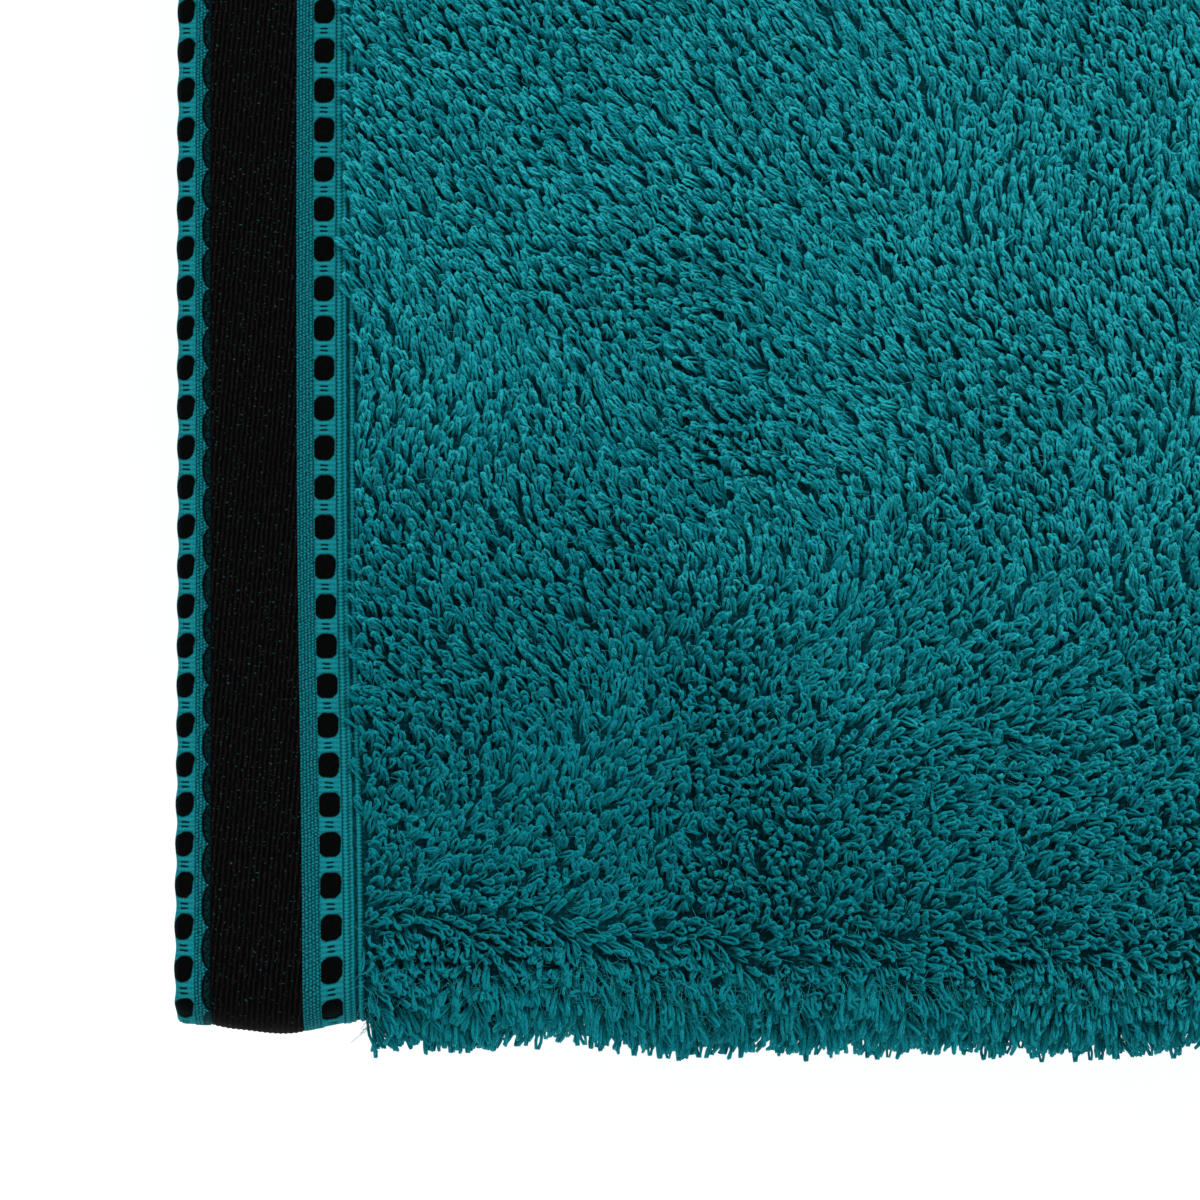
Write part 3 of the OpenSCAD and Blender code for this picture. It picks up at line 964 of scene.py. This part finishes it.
def ladder_relief(u, s, name):
    width = SQUARE_W[name]
    x = u - sum(STRIP_MM[name]) / 2 + TO_EDGE
    y = (s / LADDER_PITCH + 0.5) % 1 * LADDER_PITCH - LADDER_PITCH / 2
    slanted = x - SLANTS[name] * y
    gone_x = np.maximum(np.abs(slanted) - width / 2 + SQUARE_CORNER, 0)
    gone_y = np.maximum(np.abs(y) - SQUARE_L / 2 + SQUARE_CORNER, 0)
    square = 1 - ease(np.hypot(gone_x, gone_y), SQUARE_CORNER - 0.2, SQUARE_CORNER + 0.2)
    bars = 0.16 * bump_wave(LADDER_PITCH / 2 - np.abs(y), BAR_YARN)
    puff = np.clip(1 - (2 * x / width) ** 2, 0, 1) * np.clip(1 - (2 * y / SQUARE_L) ** 2, 0, 1)
    return (1 - square) * bars + square * (0.22 * puff - 0.3)


def scallop_relief(u, s, name):
    y = (s / LADDER_PITCH + 0.5) % 1 * 2 - 1
    start, end = STRIP_MM[name]
    bow = np.sqrt(np.maximum(1 - (1 - np.abs(y)) ** 2, 0))
    edge = end - 0.1 - bow * (end - start - 1.0)
    return 0.12 - 0.28 * ease(u - edge, -0.15, 0.15)


def band_relief(u, s, name):
    start, end = STRIP_MM[name]
    crown = 1 - (2 * (u - start) / (end - start) - 1) ** 4
    ribs = 0.07 * np.cos(2 * math.pi * (u + 0.1 * s) / BAND_RIB)
    return 0.3 * crown + ribs + 0.08 * soft_noise(u, s, 2.5, 31)


def plain_relief(u, s, name):
    return 0.06 + 0.05 * np.cos(2 * math.pi * u / GRAIN) * np.cos(2 * math.pi * s / GRAIN)


def ribbed_relief(u, s, name):
    groove = np.exp(-(((u - SEAM_U / MM) / 0.3) ** 2))
    return 0.2 * bump_wave(u - STRIP_MM[name][0] - RIB / 2, RIB) - 0.55 * groove


def from_end(end, u):
    """Distance along the towel of points u in from its top or bottom end."""
    return END_LEFT + u if end == "top" else END_RIGHT - u


def strip(towel, end, name, cell, stations):
    """One woven strip of the border, right across the cloth. The outer ladder also wraps
    round the towel's end to the turned-under ply."""
    u0, u1 = STRIP_U[name]
    face = steps(u0, u1, cell)
    half = BORDER_T / 2
    if name == "outer_ladder":
        edge_r = half + TURNED_T / 2
        face = steps(edge_r, u1, cell)
        turn = np.linspace(0, math.pi, 9)[:-1]
        arc_u = edge_r - edge_r * np.sin(turn)
        arc_lift = half - edge_r + edge_r * np.cos(turn)
        u = np.concatenate([face[:0:-1], arc_u, [edge_r, u1]])
        lift = np.concatenate([np.full(len(face) - 1, half), arc_lift, [half - 2 * edge_r] * 2])
        shown = np.concatenate([np.ones(len(face) - 1), 0.5 + 0.5 * np.cos(turn), [0, 0]])
    else:
        u = np.concatenate([face, [u1, u0]])
        lift = np.concatenate([np.full(len(face), half), [-half, -half]])
        shown = np.concatenate([np.ones(len(face)), [0, 0]])
    s = stations[:, None]
    relief = WEAVES[name][0](u / MM, s / MM, name) * MM * shown
    wave = -0.14 * MM * np.cos(2 * math.pi * s / MM / LADDER_PITCH) * (1 - ease(u, 0, u1))
    edge_wave = wave if name == "outer_ladder" else 0 * wave
    points = place(towel, end, from_end(end, u + edge_wave), s, lift + relief)
    return swept(points, u / MM, s / MM, lift / MM)


def end_hem(towel, end):
    """The ply turned under at the towel's end."""
    u = np.array([STRIP_U["outer_ladder"][1], BORDER_W])
    outer = -BORDER_T / 2
    u = np.concatenate([steps(*u, 4 * MM), steps(*u[::-1], 4 * MM)])
    lift = np.repeat([outer, outer - TURNED_T], len(u) // 2)
    s = across_steps(S_FROM, S_TO, 6 * MM, 1.2 * MM)[:, None]
    return swept(place(towel, end, from_end(end, u), s, lift), u / MM, s / MM, 0.0)


def stitches(towel, part, a, s, lift, to_a, to_s):
    """Short arched stitches of sewing thread that start at (a, s) and run to_a, to_s on."""
    t = np.linspace(0, 1, 5)
    arch = 0.22 * MM * np.sin(math.pi * t) - 0.12 * MM
    a, s, lift = (v[:, None] for v in np.broadcast_arrays(a, s, lift))
    lines = place(towel, part, a + to_a * t, s + to_s * t, lift + arch)
    return tubes(lines, np.full(lines.shape[:2], 0.2 * MM), 5, {})


def end_seam(towel, end):
    """The line of stitches that holds an end hem."""
    pitch = 2.6 * MM
    s = np.arange(S_FROM, S_TO - pitch, pitch)
    lift = BORDER_T / 2 - 0.3 * MM
    a = from_end(end, np.full(len(s), SEAM_U))
    return stitches(towel, end, a, s, lift, 0.0, 0.8 * pitch)


# ---- side hems
SEAM_W = 7.3 * MM
STITCH = 3.0 * MM


def hem_s(tucked, w):
    """s of points w in from the over layer's edge, or from the tucked layer's edge."""
    return S_END - w if tucked else w


def side_hem(towel, part, tucked):
    """One side hem of a part: a flat woven strip with a round outer edge."""
    half = SIDE_HEM_T / 2
    turn = np.linspace(0, math.pi, 7)
    arc_w, arc_lift = half - half * np.sin(turn), half * np.cos(turn)
    face = steps(half, SIDE_HEM_W, 0.9 * MM)
    flat = np.full(len(face) - 1, half)
    w = np.concatenate([face[:0:-1], arc_w, face[1:]])
    lift = np.concatenate([flat, arc_lift, -flat])
    dip = np.exp(-(((w - SEAM_W) / (0.9 * MM)) ** 2)) * np.sign(lift)
    a0, a1 = reach_of(part, 0.0)
    a = steps(a0, a1, math.pi / 20 if part in FOLDS else 1.6 * MM)[:, None]
    along = a / MM if part in PANELS else a * float(fold_radius(part, hem_s(tucked, 0))) / MM
    pucker = 0.12 * MM * np.cos(math.pi * along / (STITCH / MM))
    lift = lift - dip * 0.45 * MM + pucker * np.sign(lift)
    return swept(place(towel, part, a, hem_s(tucked, w), lift), along, w / MM, 0.0)


def side_seam(towel, part, tucked):
    """The stitches along one side hem, on its outer face."""
    a0, a1 = reach_of(part, 0.0)
    radius = 1.0 if part in PANELS else float(fold_radius(part, hem_s(tucked, SEAM_W)))
    pitch = STITCH / radius
    a = a0 + pitch * (np.arange(int((a1 - a0) / pitch)) + 0.1)
    lift = SIDE_HEM_T / 2 - 0.3 * MM
    return stitches(towel, part, a, hem_s(tucked, SEAM_W), lift, 0.8 * pitch, 0.0)


# ---- the towels
LOOPS = loop_material()
GROUND = ground_material()
HEM = hem_material()
THREAD = thread_material()
# The relief, the material and the slot of each strip of the border
WEAVES = {
    "outer_ladder": (ladder_relief, ladder_material("outer_ladder"), "border_ladder"),
    "scallop_strip": (scallop_relief, scallop_material(), "border_teal"),
    "dark_band": (band_relief, band_material(), "border_dark"),
    "plain_strip": (plain_relief, plain_material(), "border_teal"),
    "inner_ladder": (ladder_relief, ladder_material("inner_ladder"), "border_ladder"),
    "ribbed_strip": (ribbed_relief, ribbed_material(), "border_teal"),
}


def add(name, made, material, slot, towel, part, nodes=(), inner_r=None):
    """A piece that rides with its part of a towel as attach() sets it, with the CAD nodes that
    it stands for hidden.
    """
    own = piece(name, made, material)
    attach(own, towel, part)
    if nodes:
        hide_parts(*nodes)
    return own


def terry(name, made, towel, part, inner_r=None):
    return add(name, made, LOOPS, "terry", towel, part, inner_r=inner_r)


def border(end, cell, *cells_across):
    """The six strips, the end hem and its seam at one end of the upper towel."""
    stations, made = across_steps(S_FROM, S_TO, *cells_across), []
    for name in STRIPS:
        node, own = f"upper_{end}_{name}", strip(UPPER, end, name, cell, stations)
        made.append(add(f"{node}_weave", own, *WEAVES[name][1:], UPPER, end, [node]))
    node, sewn = f"upper_{end}_end_hem", [f"upper_{end}_end_hem_stitching"]
    hem, seam = end_hem(UPPER, end), end_seam(UPPER, end)
    made.append(add(f"{node}_cloth", hem, HEM, "hem", UPPER, end, [node]))
    made.append(add(f"{node}_seam", seam, THREAD, "thread", UPPER, end, sewn))
    return made


def fold_loops(rng, towel, part, s0, s1):
    """Loops of what shows on the outside of a cross fold between s0 and s1, if any does."""
    s1 = min(s1, S_TUCKED + PAST_FOLD)
    if s1 - s0 < 1 * MM:
        return None
    return coarse_loops(rng, towel, part, *reach_of(part), s0, s1)


def panel(rng, towel, part, skins=()):
    """A panel's woven ground with its loops. Returns its pieces, the ground first."""
    name = f"{towel.name}_{part}_panel"
    made, flat = ground(towel, part)
    cloth = add(f"{name}_cloth", made, GROUND, "terry", towel, part, [name])
    families = edge_loops(rng, towel, part)
    families += [skin(rng, towel, part, s0, s1) for s0, s1 in skins]
    return cloth, flat, [terry(f"{name}_loops", joined(families), towel, part)]


def upper_fold(rng, part):
    """A cross fold of the upper towel, parted so that each piece holds plies of about one
    radius.
    """
    name = f"upper_{part}_fold"
    bounds, sheets = FOLD_PARTS[part], []
    for i, (s0, s1) in enumerate(zip(bounds, bounds[1:])):
        inner_r = inner_radius(part, s0, s1)
        made, flat = ground(UPPER, part, s0, s1)
        cloth = f"{name}_cloth_{i + 1}"
        cloth = add(cloth, made, GROUND, "terry", UPPER, part, [name], inner_r)
        going = []
        shown = fold_loops(rng, UPPER, part, s0, s1)
        if shown:
            going.append(terry(f"{name}_loops_{i + 1}", shown, UPPER, part, inner_r))
        if s0 == S_FROM:
            going += fold_hem(part, False)
        if s1 == S_TO:
            going += fold_hem(part, True)
        if s1 - s0 < NARROWEST_SHEET:
            sheets[-1][2].extend([cloth, *going])
        else:
            sheets.append((cloth, flat, going))


def fold_hem(part, tucked):
    """One side hem of a cross fold of the upper towel, and its seam."""
    name = f"upper_{part}_fold_{'tucked' if tucked else 'over'}_hem"
    ends = sorted((hem_s(tucked, 0.0), hem_s(tucked, SIDE_HEM_W)))
    inner_r = inner_radius(part, *ends) - (SIDE_HEM_T - GROUND_T) / 2
    hem, nodes = side_hem(UPPER, part, tucked), [f"upper_{part}_fold_side_hems"]
    hem = add(name, hem, HEM, "hem", UPPER, part, nodes, inner_r)
    seam = side_seam(UPPER, part, tucked)
    return [hem, add(f"{name}_seam", seam, THREAD, "thread", UPPER, part, inner_r=inner_r)]


def panel_hems(part):
    """Both side hems of an upper panel, and their seams."""
    name, sewn = f"upper_{part}_side", [f"upper_{part}_side_stitching"]
    hems = joined([side_hem(UPPER, part, tucked) for tucked in (False, True)])
    hems = add(f"{name}_hems_cloth", hems, HEM, "hem", UPPER, part, [f"{name}_hems"])
    seams = joined([side_seam(UPPER, part, tucked) for tucked in (False, True)])
    return [hems, add(f"{name}_hem_seams", seams, THREAD, "thread", UPPER, part, sewn)]


def upper_towel(rng):
    over = (S_FROM, S_FRONT - PAST_FOLD)
    under = (S_UNDER + PAST_FOLD, S_REAR - PAST_FOLD)
    cloth, flat, going = panel(rng, UPPER, "top", [under])
    going += border("top", 0.25 * MM, 0.6 * MM, 0.6 * MM, 0.25 * MM)
    going += panel_hems("top")
    going += [*close_loops(), *far_loops(rng), stray_fibres(rng)]
    cloth, flat, going = panel(rng, UPPER, "middle", [over, under])
    going += panel_hems("middle")
    cloth, flat, going = panel(rng, UPPER, "bottom", [over, under])
    going += border("bottom", 0.5 * MM, 1.2 * MM, 0.8 * MM)
    going += panel_hems("bottom")
    upper_fold(rng, "right")
    upper_fold(rng, "left")


def lower_pieces():
    """The lower towel's strips, hems and seams, in one piece for both ends or all edges."""
    ends = (("top",), ("bottom",))
    edges = [(part, tucked) for part in (*PANELS, *FOLDS) for tucked in (False, True)]
    stations = across_steps(S_FROM, S_TO, 1.4 * MM, 1.0 * MM)
    made = []
    for name in STRIPS:
        both = joined([strip(LOWER, end, name, 0.6 * MM, stations) for end, in ends])
        nodes = [f"lower_{name}s"]
        weave = WEAVES[name][1:]
        made.append(add(f"lower_{name}_weaves", both, *weave, LOWER, "top", nodes))
    for name, slot, material, node, make, places in (
        ("end_hem_cloths", "hem", HEM, "end_hems", end_hem, ends),
        ("end_hem_seams", "thread", THREAD, "end_hem_stitching", end_seam, ends),
        ("side_hem_cloths", "hem", HEM, "side_hems", side_hem, edges),
        ("side_hem_seams", "thread", THREAD, "side_stitching", side_seam, edges),
    ):
        all_of, nodes = joined([make(LOWER, *where) for where in places]), [f"lower_{node}"]
        made.append(add(f"lower_{name}", all_of, material, slot, LOWER, "top", nodes))
    return made


def lower_towel(rng):
    for part in PANELS:
        skins = [(S_FROM, S_FRONT - PAST_FOLD)] if part == "top" else []
        cloth, flat, going = panel(rng, LOWER, part, skins)
        if part == "top":
            going += lower_pieces()
    for part in FOLDS:
        name = f"lower_{part}_fold"
        made, flat = ground(LOWER, part)
        cloth = add(f"{name}_cloth", made, GROUND, "terry", LOWER, part, [name])
        pile = terry(f"{name}_loops", fold_loops(rng, LOWER, part, S_FROM, S_TO), LOWER, part)


# ---- setting
# The paper glows a little, so that it is as white and shadowless as the photo's ground
PAPER = (0.90, 0.90, 0.90)
PAPER_LIGHT = (0.94, 0.94, 0.94)
PAPER_GLOW = 0.65


def floor():
    mesh = bpy.data.meshes.new("floor")
    half = 4.0
    corners = [(-half, -half, 0), (half, -half, 0), (half, half, 0), (-half, half, 0)]
    mesh.from_pydata(corners, [], [(0, 1, 2, 3)])
    g = Graph("floor_paper", 0.9, 0.0, (1, 1, 1))
    g.colour(g.mix(g.noise(g.place(), 60.0, 2.0), PAPER, PAPER_LIGHT))
    g.shader["Emission Color"].default_value = (1, 1, 1, 1)
    g.shader["Emission Strength"].default_value = PAPER_GLOW
    mesh.materials.append(g.material)
    linked("floor", mesh)


def area_light(name, location, size, power):
    light = bpy.data.lights.new(name, "AREA")
    light.size, light.energy = size, power
    made = linked(name, light)
    made.location = location
    made.rotation_mode = "QUATERNION"
    made.rotation_quaternion = (-made.location).to_track_quat("-Z", "Y")
    made.visible_camera = False


def lights():
    area_light("key", (0.5, 1.2, 1.5), 0.9, 28)
    area_light("fill", (-1.0, -1.2, 1.4), 1.4, 8)
    world = bpy.data.worlds.new("studio")
    world.use_nodes = True
    background = world.node_tree.nodes["Background"].inputs
    background["Color"].default_value = (0.93, 0.95, 0.97, 1)
    background["Strength"].default_value = 0.45
    bpy.context.scene.world = world
    bpy.context.scene.view_settings.view_transform = "Standard"


def camera():
    """Looks straight down at the corner, from high enough that the view is nearly flat."""
    data = bpy.data.cameras.new("camera")
    data.lens, data.sensor_width = 150, 36
    made = linked("camera", data)
    away = VIEW_W * data.lens / data.sensor_width
    made.location = (VIEW_X, VIEW_Y, TOP_Z + away)
    bpy.context.scene.camera = made


floor()
lights()
camera()

upper_towel(np.random.default_rng(17))
lower_towel(np.random.default_rng(18))
